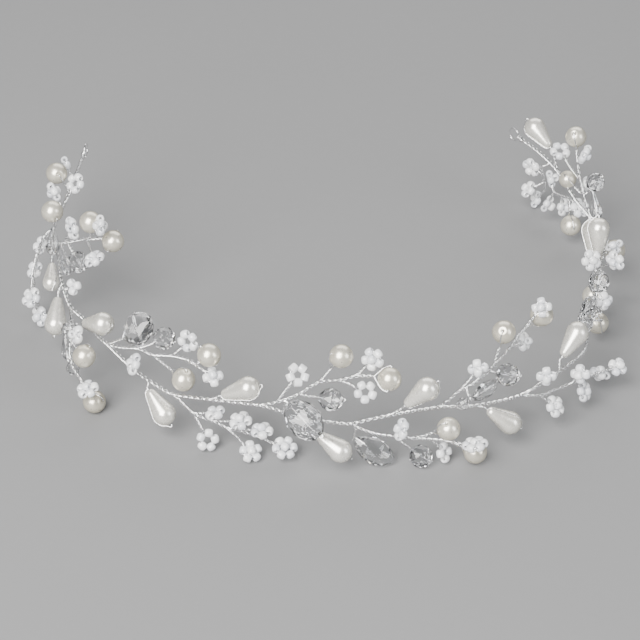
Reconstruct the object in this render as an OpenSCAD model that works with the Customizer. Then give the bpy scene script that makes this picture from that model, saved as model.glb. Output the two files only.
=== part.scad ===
// Hair vine: a twisted wire bent into an open ring, with side sprigs that carry
// pearls, drop pearls, cut crystals and small rings of seed beads.
// It stands on its lowest beads, the way it is laid on a table.

/* [Wire] */
// Radius of the ring that the main wire follows
ring_r = 76; // [74:0.5:90]
// Diameter of the twisted main wire
stem_d = 1.1; // [0.9:0.1:1.3]
// Diameter of the twisted wire of a sprig
sprig_d = 0.9; // [0.8:0.05:1]
// Diameter of the twisted stalk under one bead
stalk_d = 0.7; // [0.6:0.05:0.8]
// Diameter of the single strand that goes through a bead
strand_d = 0.5; // [0.4:0.05:0.6]
// Outer diameter of the eye at each end of the main wire
eye_d = 4.4; // [3.5:0.1:5]

/* [Beads] */
// Diameter of a round pearl
pearl_d = 6; // [5:0.1:6]
// Diameter of a drop pearl's round end
drop_d = 6; // [5:0.1:6]
// Length of a drop pearl
drop_len = 10.4; // [9:0.1:10.6]
// Diameter of a round cut crystal
round_d = 6; // [5:0.1:6]
// Diameter of the seed beads that are strung in small rings
seed_d = 2.3; // [2:0.1:2.3]
// Clearance round the wire in a bead's hole
hole_gap = 0.15; // [0.1:0.05:0.2]

/* [Hidden] */
// Where the ring's centre lies, so that the vine stands centred on the origin
ring_centre = [-1.9, 14.5];
wire_step = 4.5;
// Turn of a tube's corners, for each of its sides, so that tubes on one axis share no edges
tube_turn = 11;
stem_sides = 6;
stalk_sides = 5;
strand_sides = 4;
bore_d = strand_d + 2*hole_gap;
// The strand lies this far off a bead's surface, and bends round it in steps of this angle
wrap_gap = 0.15;
bend_step = 45;
// A bead's strands part this far before the bead
knot_len = 0.9;
// A cut stone's strand shows for this length before the stone, and its end is bent over
entry_len = 0.8;
turn_len = 0.9;
// Length and swelling of the twist where a branch leaves
fork_len = 1.6;
fork_swell = 1.2;
// The vine is meant to be seen from outside and this far above
look_down = 35;
// Small round end of a drop, as a share of its diameter
tip_share = 0.23;

// A place is [angle round the ring from its front, distance outside the ring, height]
function place(p) = let(r = ring_r + p[1])
    [ring_centre[0] + r*sin(p[0]), ring_centre[1] - r*cos(p[0]), p[2]];

// Names of the wire's branches, in the order of the table below
stem = 0;
left_inner = 1;
left_low = 2;
left_hang = 3;
front_left_up = 4;
front_left_low = 5;
front_up = 6;
front_low = 7;
right_up = 8;
right_spray = 9;
right_inner = 10;
right_low = 11;
back_up = 12;
back_low = 13;
back_hang = 14;

// Columns: the branch it leaves, the station there, then its own places
branches = [
    [undef, 0, [
        [-118.5, 3, 22], [-112.5, 0.5, 21], [-105, -1.5, 20.5], [-99, -2, 19.5], [-93, -1.5, 19],
        [-87, -2.5, 18.5], [-79.5, -3.5, 18.5], [-72.5, -3, 18], [-65, -2.5, 17], [-59, -3.5, 17],
        [-52, -3, 17], [-48.5, -2.5, 17.5], [-42, -1.5, 17], [-37.5, -1, 16], [-33, -1, 15],
        [-29.5, -1, 14.5], [-22, -1.5, 16], [-11.5, -1.5, 17.5], [-6.5, -1, 16.5], [-4, -1, 15],
        [1, -1.5, 14], [6, -1.5, 13], [10, -1.5, 14], [14, -1, 15], [23.5, -0.5, 15],
        [28.5, 1.5, 14.5], [31, 2, 14], [37, 3, 13], [40.5, 4, 13], [44, 5, 14],
        [50, 5.5, 14.5], [58, 6, 14.5], [65, 3, 13.5], [73.5, 1.5, 14.5], [84, 1, 15.5],
        [92, 3, 14], [98, 4.5, 14], [104, 3, 15.5], [110.5, 1.5, 17], [116.5, 2, 18.5],
        [121.5, 2.5, 19.5], [127, 2.5, 20.5], [132.5, 2, 21.5]]],
    [stem, 5, [[-85.5, -6, 20], [-84, -10, 22], [-82, -12, 23.5], [-80, -15, 25]]],
    [stem, 4, [[-91, 1, 17], [-86, 2.5, 16], [-81.5, 4, 13]]],
    [stem, 8, [[-60, -0.3, 17.6], [-57, 1.5, 17], [-52.5, 5.5, 15.5], [-50, 7, 12.5], [-49, 6, 9.5]]],
    [stem, 11, [[-44, -3, 19.5], [-40, -3.5, 21.5], [-36.5, -4, 21.5], [-31.5, -4.5, 23.5],
        [-28, -4, 24.5], [-25.5, -4, 24]]],
    [stem, 15, [[-25.5, -2, 9.5], [-21.5, -3, 8], [-18.5, -3.5, 6.5], [-15, -4.5, 5.5],
        [-11.5, -4, 5]]],
    [stem, 17, [[-8, -2.5, 18.5], [-4, -4.5, 20], [0, -6.5, 22.5], [4, -6, 23.5],
        [7.5, -6, 24.5], [11, -5.5, 24.5]]],
    [stem, 21, [[10.5, 0.5, 11], [14.5, 1, 9.5], [17.5, 2, 9], [21.5, 3, 8], [24.5, 4, 7]]],
    [stem, 24, [[26, -0.5, 16.5], [28, -0.5, 18.5], [30, 1, 20.5], [32.5, 1, 22], [35, 1, 24],
        [40, -1, 25], [44.5, -3, 26]]],
    [stem, 28, [[44, 6, 11.5], [48, 6.5, 10.5], [51.5, 7.5, 10], [55, 9, 9.5], [57, 9.5, 9]]],
    [stem, 32, [[66, 3.5, 17], [67, 5, 19]]],
    [stem, 32.5, [[70, 3, 12.5], [72, 4, 11]]],
    [stem, 37, [[106.5, 1.5, 21], [108, 1, 25], [110.5, 1.5, 28]]],
    [stem, 38, [[112.5, 1, 15.5], [116, 1, 13.5], [119, 1.5, 12]]],
    [stem, 40, [[123.5, 1, 18], [124, 2, 14.5], [124, 3.5, 9], [125, 4, 6.5]]]
];

// Columns: diameter, branch, station, turn of the hole about the stalk, centre
pearls = [
    [pearl_d, stem, 2, 40, [-105, 2, 26]],
    [pearl_d, stem, 4.5, 40, [-88, -2, 28]],
    [pearl_d, left_inner, 3, 30, [-80.5, -12.5, 30]],
    [pearl_d, left_inner, 4, 0, [-76.5, -18, 26]],
    [pearl_d, left_hang, 2.5, 0, [-49, 4.5, 16.5]],
    [pearl_d, left_hang, 5, 0, [-47, 4, pearl_d/2]],
    [pearl_d, front_left_up, 6, 30, [-22.5, -4, 28]],
    [pearl_d, front_left_up, 3, 30, [-28, -3, 18.5]],
    [pearl_d, front_up, 3, 40, [4.5, -6, 31]],
    [pearl_d, front_up, 6, 0, [14, -3, 25]],
    [pearl_d, front_low, 3, 50, [24, 5, 12]],
    [pearl_d, front_low, 5, 60, [29, 7, 3.5]],
    [pearl_d, right_up, 5, 50, [39, -2, 30.5]],
    [pearl_d, right_up, 7, 30, [51, -2.5, 28]],
    [pearl_d, right_low, 2, 0, [75, 2.5, 7]],
    [pearl_d, stem, 33.2, 0, [80.5, 0, 10.5]],
    [pearl_d, stem, 35, 0, [95.5, 7.1, 12]],
    [pearl_d, back_low, 1, 0, [111, 1.5, 7]],
    [pearl_d - 1, back_up, 1, 0, [113, 0.5, 21.5]],
    [pearl_d, back_up, 3, 0, [115.5, 4, 33]]
];

// Columns: diameter, length, branch, station, side the strand comes back on, place at the tip, centre
drops = [
    [drop_d - 1.4, drop_len - 1.4, stem, 5, 0, [-82.5, -1.5, 16], [-79, -1, 14.5]],
    [drop_d, drop_len, stem, 7, 0, [-70, -1, 16], [-67.5, 0.6, 12.1]],
    [drop_d, drop_len, stem, 9.5, 180, [-55.5, -1, 19.5], [-52, -2.5, 21.5]],
    [drop_d, drop_len, stem, 13.5, 60, [-35, 0, 13.5], [-32, 0.5, 10]],
    [drop_d, drop_len, stem, 16, 180, [-19, -1.5, 18.5], [-15.5, -2.5, 20.5]],
    [drop_d, drop_len, stem, 18, 180, [0, 0, 11], [3, 1.5, 8.5]],
    [drop_d, drop_len, stem, 23, 180, [16.5, -0.5, 17.5], [19.5, 0.5, 21.5]],
    [drop_d, drop_len, stem, 26, 90, [32.5, 3, 13], [35.5, 5.5, 9.5]],
    [drop_d, drop_len, stem, 30, 180, [52.5, 3.5, 16], [55.5, 4, 19.5]],
    [drop_d, drop_len, stem, 34.5, 0, [90, 0.9, 17], [91.5, 0.9, 20.5]],
    [drop_d, drop_len, stem, 34.9, 0, [93.5, 0.3, 13], [95.3, 0.4, 16.5]],
    [drop_d, drop_len, stem, 39.5, 0, [123, 3, 24], [126.5, 2.5, 26.5]]
];

// Columns: diameter, branch, station, centre
rounds = [
    [round_d, left_inner, 1, [-79, -8.5, 18.5]],
    [round_d, front_left_up, 2, [-34, -5.5, 27]],
    [round_d, front_up, 2, [2.5, -4, 19]],
    [round_d, front_low, 2, [19.6, 2.6, 2.94]],
    [round_d, right_up, 4.5, [37, 3.5, 21.5]],
    [round_d - 0.6, back_up, 1, [105.5, 4, 26]],
    [round_d, stem, 32.8, [75.5, 1.5, 20]]
];

// Columns: diameter, branch, station, centre
small_rounds = [
    [5, left_hang, 1, [-60.5, 0, 13.5]],
    [3.8, left_hang, 4.5, [-54.5, 3.5, 7.5]],
    [3.2, stem, 24.5, [27, 4, 18]],
    [4.4, stem, 32, [62.5, 3, 18.5]]
];

// Columns: width, thickness, length, branch, station, place at its near end, centre
ovals = [
    [8.6, 5.6, 9.4, stem, 11, [-45, -3.5, 21], [-41.5, -6, 25.5]],
    [8.8, 4.6, 11.6, stem, 18, [-5.5, 1.5, 21.5], [-2.5, 4.5, 19]],
    [4, 3.2, 8.5, right_up, 2.5, [29.5, 3.5, 18], [32.5, 2.5, 18.5]],
    [6.8, 3.6, 11, front_low, 0.3, [8, -1.5, 7], [11, -0.5, 4.5]]
];

// Columns: width, length, branch, station, place at the tip, centre
narrow_drops = [
    [4, 9, stem, 4, [-89, -2, 22.5], [-84, -2, 21.5]],
    [3.2, 8, left_inner, 0.5, [-79, -4.5, 23.5], [-75, -4.5, 22]],
    [3, 7, left_hang, 1.5, [-57, 3.5, 16], [-56, 4, 13.5]],
    [3.6, 8, right_inner, 0.5, [64.5, 0.5, 18], [67, 1, 19]],
    [3.2, 8, back_up, 1, [107, 5, 20], [105.5, 5, 18]]
];

// Columns: beads in the ring, branch, station, centre, how far it faces up, how far it is turned
seed_rings_left = [
    [3, stem, 1.5, [-110.5, 2.5, 24.5], 30, 0],
    [5, stem, 2.5, [-104, -4, 24.5], 30, 60],
    [5, stem, 3, [-99.5, 0.5, 24.5], 30, 20],
    [4, left_low, 0.5, [-91, 2.5, 14], 10, 30],
    [4, left_low, 1.5, [-84.5, 3.5, 12], 30, 40],
    [5, left_low, 3, [-77.5, 5, 9.5], 20, 50],
    [5, left_low, 3, [-77.5, 3, 3.05], 20, 30],
    [6, left_inner, 0.7, [-81, -7.5, 28], 40, 60],
    [5, left_inner, 3.5, [-75, -14.5, 32.5], 50, 60],
    [5, left_inner, 2.5, [-72.5, -12, 24], 40, 70],
    [3, stem, 7.3, [-68.5, -5, 19.5], 0, 0]
];
seed_rings_front_left = [
    [4, left_hang, 2.3, [-52, 3.5, 20.5], 40, 50],
    [5, left_hang, 5, [-46, 7, 9.5], 60, 40],
    [5, stem, 12, [-37, 2, 21.5], 40, 30],
    [5, front_left_up, 4, [-28, -5.5, 29], 36, 20],
    [4, front_left_up, 5, [-21.5, -3.5, 22], 60, 0],
    [4, front_left_low, 1, [-21, -3, 11], 90, 0],
    [5, front_left_low, 1, [-22, -1, 3], 60, 0],
    [5, front_left_low, 2, [-16, -4.5, 9], 80, 0],
    [5, front_left_low, 3, [-11.5, -4.5, 7], 90, 0],
    [5, front_left_low, 3, [-13, -1, 2.5], 70, 0],
    [6, front_left_low, 5, [-6.5, -3, 3.5], 70, 0],
    [5, front_up, 1, [-4.5, -8.5, 23], 30, 10]
];
seed_rings_front_right = [
    [5, front_up, 5, [11, -6, 29.5], 50, 0],
    [5, front_up, 4, [9.5, -4.5, 20.5], 36, 0],
    [5, front_low, 2, [15.5, 2.5, 12.8], 70, 0],
    [4, front_low, 4, [24, 3.5, 3.2], 60, 0],
    [6, front_low, 5, [27.5, 10, 9], 100, 0],
    [4, right_up, 2, [31, 1.5, 25.5], 40, 0],
    [4, right_up, 6, [46.5, -3.5, 22], 30, 0],
    [4, right_up, 7, [49, -1, 32.5], 60, -30],
    [4, stem, 28.5, [44.5, 7, 18], 40, 0],
    [4, right_spray, 3, [52.5, 9.5, 13.5], 60, 0],
    [5, right_spray, 3.5, [54.5, 9.5, 6], 50, 0],
    [5, right_spray, 1, [46.5, 8.5, 7.5], 50, 0],
    [5, right_spray, 4.7, [60.5, 9.5, 6.3], 90, 0],
    [4, right_spray, 5, [62, 13.5, 8.5], 50, 0]
];
seed_rings_right = [
    [5, stem, 33.8, [83, -1.5, 20], 40, -60],
    [5, stem, 34.2, [83.5, 5, 20], 40, -60],
    [4, stem, 32.6, [72, 4, 17.5], 20, -40],
    [4, stem, 35.2, [91, 5.4, 18], 20, -60],
    [5, back_low, 1, [110.5, 3.5, 13], 0, -60],
    [4, back_low, 2, [116, 2.5, 9], 0, -60],
    [4, back_low, 3, [120.5, 1, 7], 0, -60],
    [4, back_low, 3, [122, 3, 14], 0, -60],
    [5, back_hang, 2, [127, 1, 15], 0, -40],
    [4, back_hang, 2.5, [127, 0.5, 7.5], 0, -40],
    [4, back_hang, 4, [127, 4, 2.74], 0, -40],
    [3, back_up, 1, [109, 3.5, 22.5], 0, 0],
    [5, back_up, 2, [116.5, 0, 28.5], 30, -100],
    [5, back_up, 3, [108, 1.5, 33.5], 30, -60]
];

function unit(v) = v/norm(v);
function two(i) = i < 10 ? str("0", i) : str(i);
function names(word, table) = [for (i = [1:len(table)]) str(word, "_", two(i))];

// A smooth curve through the stations; s counts stations, and whole numbers fall on them
function curve_at(p, s) =
    let(last = len(p) - 1, i = min(floor(s), last - 1), t = s - i,
        b = p[i], c = p[i + 1],
        a = i > 0 ? p[i - 1] : 2*b - c,
        d = i + 2 <= last ? p[i + 2] : 2*c - b)
    0.5*(2*b + (c - a)*t + (2*a - 5*b + 4*c - d)*t*t + (3*b - a - 3*c + d)*t*t*t);

function branch_points(k) = let(b = branches[k], own = [for (p = b[2]) place(p)])
    b[0] == undef ? own : concat([wire_at(b[0], b[1])], own);
function wire_at(k, s) = curve_at(branch_points(k), s);

function smooth(p) = [
    for (i = [0:len(p) - 2]) let(n = max(1, round(norm(p[i + 1] - p[i])/wire_step)))
        for (j = [0:n - 1]) curve_at(p, i + j/n),
    p[len(p) - 1]
];

// The path with its end carried on a little, so that stalks can start inside it
function run_on(p) = let(n = len(p) - 1)
    [for (i = [0:n]) i < n ? p[i] : p[n] + sprig_d/2*unit(p[n] - p[n - 1])];

// Side directions carried along the path, so that the tube doesn't twist
function along(p, i) = unit(p[min(i + 1, len(p) - 1)] - p[max(i - 1, 0)]);
function square_to(v, t) = unit(v - (v*t)*t);
function any_side(t) = square_to(abs(t[2]) < 0.8 ? [0, 0, 1] : [1, 0, 0], t);

module tube(p, d, sides) {
    n = len(p);
    side = [for (i = 0, s = any_side(along(p, 0)); i < n;
        i = i + 1, s = square_to(s, along(p, min(i, n - 1)))) s];
    pts = [for (i = [0:n - 1]) let(t = along(p, i), u = side[i], v = cross(t, u))
        for (j = [0:sides - 1]) let(a = 360*j/sides + tube_turn*sides)
            p[i] + d/2*(cos(a)*u + sin(a)*v)];
    walls = [for (i = [0:n - 2], j = [0:sides - 1]) let(k = (j + 1) % sides)
        [i*sides + j, (i + 1)*sides + j, (i + 1)*sides + k, i*sides + k]];
    ends = [[for (j = [0:sides - 1]) j], [for (j = [sides - 1:-1:0]) (n - 1)*sides + j]];
    polyhedron(pts, concat(walls, ends));
}

// Puts its children at a point, their Z axis along the direction and their X axis to the side
module aim(at, direction, side = undef) {
    t = unit(direction);
    u = side == undef ? any_side(t) : side;
    v = cross(t, u);
    multmatrix([[u[0], v[0], t[0], at[0]], [u[1], v[1], t[1], at[1]],
        [u[2], v[2], t[2], at[2]], [0, 0, 0, 1]]) children();
}

// Side direction of a bead on its stalk: across the view from outside and above, then turned
function bead_side(t, at, turn) =
    let(out = [at[0] - ring_centre[0], at[1] - ring_centre[1], ring_r*tan(look_down)],
        across = unit(cross(out, t)))
    cos(turn)*across + sin(turn)*cross(t, across);

function outward(centre, t, side, angle, r) = centre + r*(cos(angle)*t + sin(angle)*side);

// Where the corners of a strand lie so that its straight runs keep their gap from a round
function corner_r(d) = (d/2 + wrap_gap + strand_d/2)/cos(bend_step/2);

// The wire of a round pearl: one strand crosses it, and both legs meet in its stalk
module pearl_wire(from, b) {
    centre = place(b[4]);
    t = unit(centre - from);
    side = bead_side(t, centre, b[3]);
    r = corner_r(b[0]);
    low = 90 + bend_step;
    knot = centre - (r + knot_len)*t;
    tube([from, knot], stalk_d, stalk_sides);
    tube([knot - strand_d/2*t, outward(centre, t, side, low, r), outward(centre, t, side, 90, r),
        outward(centre, t, -side, 90, r), outward(centre, t, -side, low, r), knot - strand_d*t],
        strand_d, strand_sides);
}

// The wire of a drop: the strand goes through it, turns at the round end and comes back outside
module drop_wire(from, b) {
    tip = place(b[5]);
    centre = place(b[6]);
    t = unit(centre - tip);
    side = bead_side(t, centre, b[4]);
    r = corner_r(b[0]);
    tip_r = tip_share*b[0];
    bulb = centre + (b[1] - b[0])/2*t;
    low = centre - (b[1]/2 - tip_r)*t;
    lean = 90 + drop_lean(b[0], b[1]);
    entry = centre - (b[1]/2 + entry_len)*t;
    back = unit(from - entry);
    tube([from, entry - strand_d/5*back], stalk_d, stalk_sides);
    tube([entry + strand_d*back, entry, bulb + r*t,
        outward(bulb, t, side, bend_step, r), outward(bulb, t, side, 90, r),
        outward(low, t, side, lean, corner_r(2*tip_r)), entry + strand_d/2*back],
        strand_d, strand_sides);
}

// The wire of a cut stone: straight through, with its end bent over
module stone_wire(from, near, centre, len) {
    t = unit(centre - near);
    entry = centre - (len/2 + entry_len)*t;
    end = centre + (len/2 + wrap_gap + strand_d/2)*t;
    back = unit(from - entry);
    tube([from, entry - strand_d/5*back], stalk_d, stalk_sides);
    tube([entry + strand_d*back, entry, end, end + turn_len*bead_side(t, centre, 0)],
        strand_d, strand_sides);
}

function reach(b) = seed_d/2/sin(180/b[0]) + seed_d/2;

// A short thick twist where a branch leaves the wire that bears it
module fork(k) {
    p = branch_points(k);
    hull() {
        translate(p[0]) sphere(d = fork_swell*stem_d, $fn = 6);
        translate(p[0] + fork_len*unit(p[1] - p[0])) sphere(d = sprig_d, $fn = 6);
    }
}

module eye(at, from) {
    out = unit(at - from);
    translate(at + out*(eye_d - stem_d)/2) aim([0, 0, 0], cross(out, [0, 0, 1]))
        rotate_extrude($fn = 12) translate([(eye_d - stalk_d)/2, 0]) circle(d = stalk_d, $fn = 5);
}

module vine_wire() color("silver") {
    main = branch_points(stem);
    n = len(main) - 1;
    tube(smooth(main), stem_d, stem_sides);
    eye(main[0], main[1]);
    eye(main[n], main[n - 1]);
    for (k = [1:len(branches) - 1]) {
        fork(k);
        tube(run_on(smooth(branch_points(k))), sprig_d, stalk_sides);
    }
    for (b = pearls) pearl_wire(wire_at(b[1], b[2]), b);
    for (b = drops) drop_wire(wire_at(b[2], b[3]), b);
    for (b = concat(rounds, small_rounds))
        stone_wire(wire_at(b[1], b[2]), wire_at(b[1], b[2]), place(b[3]), b[0]);
    for (b = ovals) stone_wire(wire_at(b[3], b[4]), place(b[5]), place(b[6]), b[2]);
    for (b = narrow_drops) stone_wire(wire_at(b[2], b[3]), place(b[4]), place(b[5]), b[1]);
    for (b = concat(seed_rings_left, seed_rings_front_left, seed_rings_front_right,
            seed_rings_right)) {
        from = wire_at(b[1], b[2]);
        centre = place(b[3]);
        tube([from, centre - (reach(b) + wrap_gap)*unit(centre - from)], stalk_d, stalk_sides);
    }
}

module drilled(len) {
    difference() {
        children();
        cylinder(d = bore_d, h = len + 1, center = true, $fn = 24);
    }
}

module pearl(b) color("ivory") {
    centre = place(b[4]);
    aim(centre, bead_side(unit(centre - wire_at(b[1], b[2])), centre, b[3]))
        drilled(b[0]) sphere(d = b[0], $fn = 48);
}

// Half outline of a drop: a small round tip, straight flanks and a full round end
function drop_lean(d, len) = asin((0.5 - tip_share)*d/(len - (0.5 + tip_share)*d));
function drop_outline(d, len) = let(lean = drop_lean(d, len), tip = tip_share*d)
    concat(
        [for (i = [0:4]) let(a = -90 + i*(90 - lean)/4)
            [tip*cos(a), tip - len/2 + tip*sin(a)]],
        [for (i = [0:12]) let(a = -lean + i*(90 + lean)/12)
            [d/2*cos(a), len/2 - d/2 + d/2*sin(a)]]);

module drop_pearl(b) color("ivory")
    aim(place(b[6]), place(b[6]) - place(b[5])) drilled(b[1])
        rotate_extrude($fn = 48) polygon(drop_outline(b[0], b[1]));

// A cut stone from a table of rings: share of the length, share of the width
module cut_stone(rings, width, thick, len, sides) {
    m = len(rings);
    pts = [for (i = [0:m - 1], j = [0:sides - 1]) let(a = 360*(j + (i % 2)/2)/sides)
        [width/2*rings[i][1]*cos(a), thick/2*rings[i][1]*sin(a), (rings[i][0] - 0.5)*len]];
    bands = [for (i = [0:m - 2], j = [0:sides - 1])
        let(k = (j + 1) % sides, a = i*sides, b = (i + 1)*sides)
        each i % 2 == 0
            ? [[a + j, b + j, a + k], [b + j, b + k, a + k]]
            : [[a + j, b + j, b + k], [a + j, b + k, a + k]]];
    polyhedron(pts, concat(bands,
        [[for (j = [0:sides - 1]) j], [for (j = [sides - 1:-1:0]) (m - 1)*sides + j]]));
}

round_cut = [[0, 0.34], [0.2, 0.82], [0.5, 1], [0.8, 0.82], [1, 0.34]];
oval_cut = [[0, 0.3], [0.14, 0.68], [0.36, 0.96], [0.62, 1], [0.86, 0.7], [1, 0.3]];
drop_cut = [[0, 0.34], [0.25, 0.55], [0.55, 0.9], [0.75, 1], [0.92, 0.72], [1, 0.36]];

module round_crystal(b) color("white")
    aim(place(b[3]), place(b[3]) - wire_at(b[1], b[2])) drilled(b[0])
        cut_stone(round_cut, b[0], b[0], b[0], 10);

module oval_crystal(b) color("white") {
    centre = place(b[6]);
    t = unit(centre - place(b[5]));
    aim(centre, t, bead_side(t, centre, 0)) drilled(b[2])
        cut_stone(oval_cut, b[0], b[1], b[2], 12);
}

module narrow_crystal(b) color("white")
    aim(place(b[5]), place(b[5]) - place(b[4])) drilled(b[1])
        cut_stone(drop_cut, b[0], b[0], b[1], 8);

// The strung beads of one ring as a plain round tube; it lies in line with its stalk
module seed_ring(b) {
    centre = place(b[3]);
    stalk_way = unit(centre - wire_at(b[1], b[2]));
    side = b[3][0] + b[5];
    facing = [sin(side)*cos(b[4]), -cos(side)*cos(b[4]), sin(b[4])];
    aim(centre, square_to(facing, stalk_way))
        rotate_extrude($fn = 36) translate([reach(b) - seed_d/2, 0]) circle(d = seed_d, $fn = 24);
}
module seed_rings(table) color("white") for (b = table) seed_ring(b);

module small_crystals() for (b = small_rounds) round_crystal(b);
module narrow_crystals() for (b = narrow_drops) narrow_crystal(b);

vine_wire();
for (i = [1:len(pearls)])
    pearl(pearls[i - 1]);
for (i = [1:len(drops)])
    drop_pearl(drops[i - 1]);
for (i = [1:len(rounds)])
    round_crystal(rounds[i - 1]);
for (i = [1:len(ovals)])
    oval_crystal(ovals[i - 1]);
small_crystals();
narrow_crystals();
seed_rings(seed_rings_left);
seed_rings(seed_rings_front_left);
seed_rings(seed_rings_front_right);
seed_rings(seed_rings_right);
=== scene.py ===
from math import asin, ceil, copysign, cos, floor, pi, radians, sin, tan
from random import Random

import bpy
from mathutils import Matrix, Vector


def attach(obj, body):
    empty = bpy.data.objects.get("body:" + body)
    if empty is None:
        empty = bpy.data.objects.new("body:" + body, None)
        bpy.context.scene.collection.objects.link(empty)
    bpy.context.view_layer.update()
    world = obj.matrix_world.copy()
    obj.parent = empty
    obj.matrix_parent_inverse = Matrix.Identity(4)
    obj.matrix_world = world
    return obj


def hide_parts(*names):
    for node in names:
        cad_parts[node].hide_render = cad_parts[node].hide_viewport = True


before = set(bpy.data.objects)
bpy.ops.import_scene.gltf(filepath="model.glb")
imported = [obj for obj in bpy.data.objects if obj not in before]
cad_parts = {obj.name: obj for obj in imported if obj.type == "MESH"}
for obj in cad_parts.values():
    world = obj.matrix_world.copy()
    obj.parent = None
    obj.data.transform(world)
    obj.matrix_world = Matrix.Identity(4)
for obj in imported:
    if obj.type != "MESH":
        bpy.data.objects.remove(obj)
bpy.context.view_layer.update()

mm = 0.001
scene = bpy.context.scene


# Camera, floor and lights

# millimetres, and the roll in degrees
cameraSet = {"lens": 122.6, "sensor": 36, "near": 10, "roll": 1.2,
             "place": (-1.9, -487.8, 356.2), "aim": (-1.9, 2.5, 0)}


def standAt(obj, place, aim, roll=0.0):
    scene.collection.objects.link(obj)
    turn = (aim - place).to_track_quat("-Z", "Y").to_matrix().to_4x4()
    obj.matrix_world = Matrix.Translation(place) @ turn @ Matrix.Rotation(radians(roll), 4, "Z")


def addCamera(c):
    data = bpy.data.cameras.new("camera")
    data.lens = c["lens"]
    data.sensor_width = c["sensor"]
    data.clip_start = c["near"]*mm
    scene.camera = bpy.data.objects.new("camera", data)
    standAt(scene.camera, Vector(c["place"])*mm, Vector(c["aim"])*mm, c["roll"])


def addSoftbox(name, place, aim, size, watts, colour):
    data = bpy.data.lights.new(name, "AREA")
    data.shape = "RECTANGLE"
    data.size, data.size_y = size
    data.energy = watts
    data.color = colour
    standAt(bpy.data.objects.new(name, data), Vector(place), Vector(aim))


# place, aim and size in metres, watts, colour
studio = {
    "key": ((-0.42, -0.78, 0.76), (0, 0, 0.01), (0.75, 1.0), 46, (1, 0.985, 0.96)),
    "fill": ((0.8, -0.5, 0.45), (0, 0, 0.01), (0.4, 0.6), 5, (0.95, 0.975, 1)),
    "back": ((0.1, 0.8, 0.65), (0, 0, 0.01), (1.2, 0.8), 8, (1, 0.995, 0.985)),
}

room = {"colour": (0.62, 0.63, 0.65), "strength": 0.2}

addCamera(cameraSet)
for name, lamp in studio.items():
    addSoftbox(name, *lamp)

scene.world = bpy.data.worlds.new("softRoom")
scene.world.use_nodes = True
background = scene.world.node_tree.nodes["Background"]
background.inputs["Color"].default_value = (*room["colour"], 1)
background.inputs["Strength"].default_value = room["strength"]
print("camera and lights made:", 1 + len(studio))


# Materials

# the fine noise lies mostly between low and high; a bead's tone shifts the broad one by half the spread
surfaceSet = {"detail": 3, "low": 0.3, "high": 0.7, "toneSpread": 0.6, "bumpDepth": 0.05*mm}


def buildFineSurface(s):  # two noises of different size, for tone and for gloss
    tree = bpy.data.node_groups.new("fineSurface", "ShaderNodeTree")
    tree.interface.new_socket("Vector", in_out="INPUT", socket_type="NodeSocketVector")
    for name in ("Fine", "Broad"):
        tree.interface.new_socket(name + " Scale", in_out="INPUT", socket_type="NodeSocketFloat")
        tree.interface.new_socket(name, in_out="OUTPUT", socket_type="NodeSocketFloat")
    start, end = tree.nodes.new("NodeGroupInput"), tree.nodes.new("NodeGroupOutput")
    for name in ("Fine", "Broad"):
        noise = tree.nodes.new("ShaderNodeTexNoise")
        noise.inputs["Detail"].default_value = s["detail"]
        tree.links.new(start.outputs["Vector"], noise.inputs["Vector"])
        tree.links.new(start.outputs[name + " Scale"], noise.inputs["Scale"])
        tree.links.new(noise.outputs["Fac"], end.inputs[name])
    return tree


fineSurface = buildFineSurface(surfaceSet)


def ownTone(nodes, links, broad, attributeName, s):  # the broad noise, shifted by each bead's own tone
    attribute = nodes.new("ShaderNodeAttribute")
    attribute.attribute_name = attributeName
    add = nodes.new("ShaderNodeMath")
    add.operation = "MULTIPLY_ADD"
    links.new(attribute.outputs["Fac"], add.inputs[0])
    add.inputs[1].default_value = s["toneSpread"]
    links.new(broad, add.inputs[2])
    shift = nodes.new("ShaderNodeMath")
    shift.operation = "SUBTRACT"
    links.new(add.outputs[0], shift.inputs[0])
    shift.inputs[1].default_value = s["toneSpread"]/2
    return shift.outputs[0]


def makeMaterial(name, m, s):
    mat = bpy.data.materials.new(name)
    mat.use_nodes = True
    nodes, links = mat.node_tree.nodes, mat.node_tree.links
    shader = nodes["Principled BSDF"]
    for socket, value in m["plain"].items():
        shader.inputs[socket].default_value = value
    where = nodes.new("ShaderNodeTexCoord")
    surface = nodes.new("ShaderNodeGroup")
    surface.node_tree = fineSurface
    surface.inputs["Fine Scale"].default_value = m["fineScale"]
    surface.inputs["Broad Scale"].default_value = m["broadScale"]
    links.new(where.outputs["Object"], surface.inputs["Vector"])
    tone = surface.outputs["Broad"]
    if "toneFrom" in m:
        tone = ownTone(nodes, links, tone, m["toneFrom"], s)
    ramp = nodes.new("ShaderNodeValToRGB")
    for stop, (at, colour) in zip(ramp.color_ramp.elements, m["tones"]):
        stop.position = at
        stop.color = (*colour, 1)
    links.new(tone, ramp.inputs["Fac"])
    links.new(ramp.outputs["Color"], shader.inputs["Base Color"])
    gloss = nodes.new("ShaderNodeMapRange")
    gloss.inputs["From Min"].default_value = s["low"]
    gloss.inputs["From Max"].default_value = s["high"]
    gloss.inputs["To Min"].default_value, gloss.inputs["To Max"].default_value = m["roughness"]
    links.new(surface.outputs["Fine"], gloss.inputs["Value"])
    links.new(gloss.outputs["Result"], shader.inputs["Roughness"])
    bump = nodes.new("ShaderNodeBump")
    bump.inputs["Strength"].default_value = m["bump"]
    bump.inputs["Distance"].default_value = s["bumpDepth"]
    links.new(surface.outputs["Fine"], bump.inputs["Height"])
    links.new(bump.outputs["Normal"], shader.inputs["Normal"])
    return mat


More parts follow.
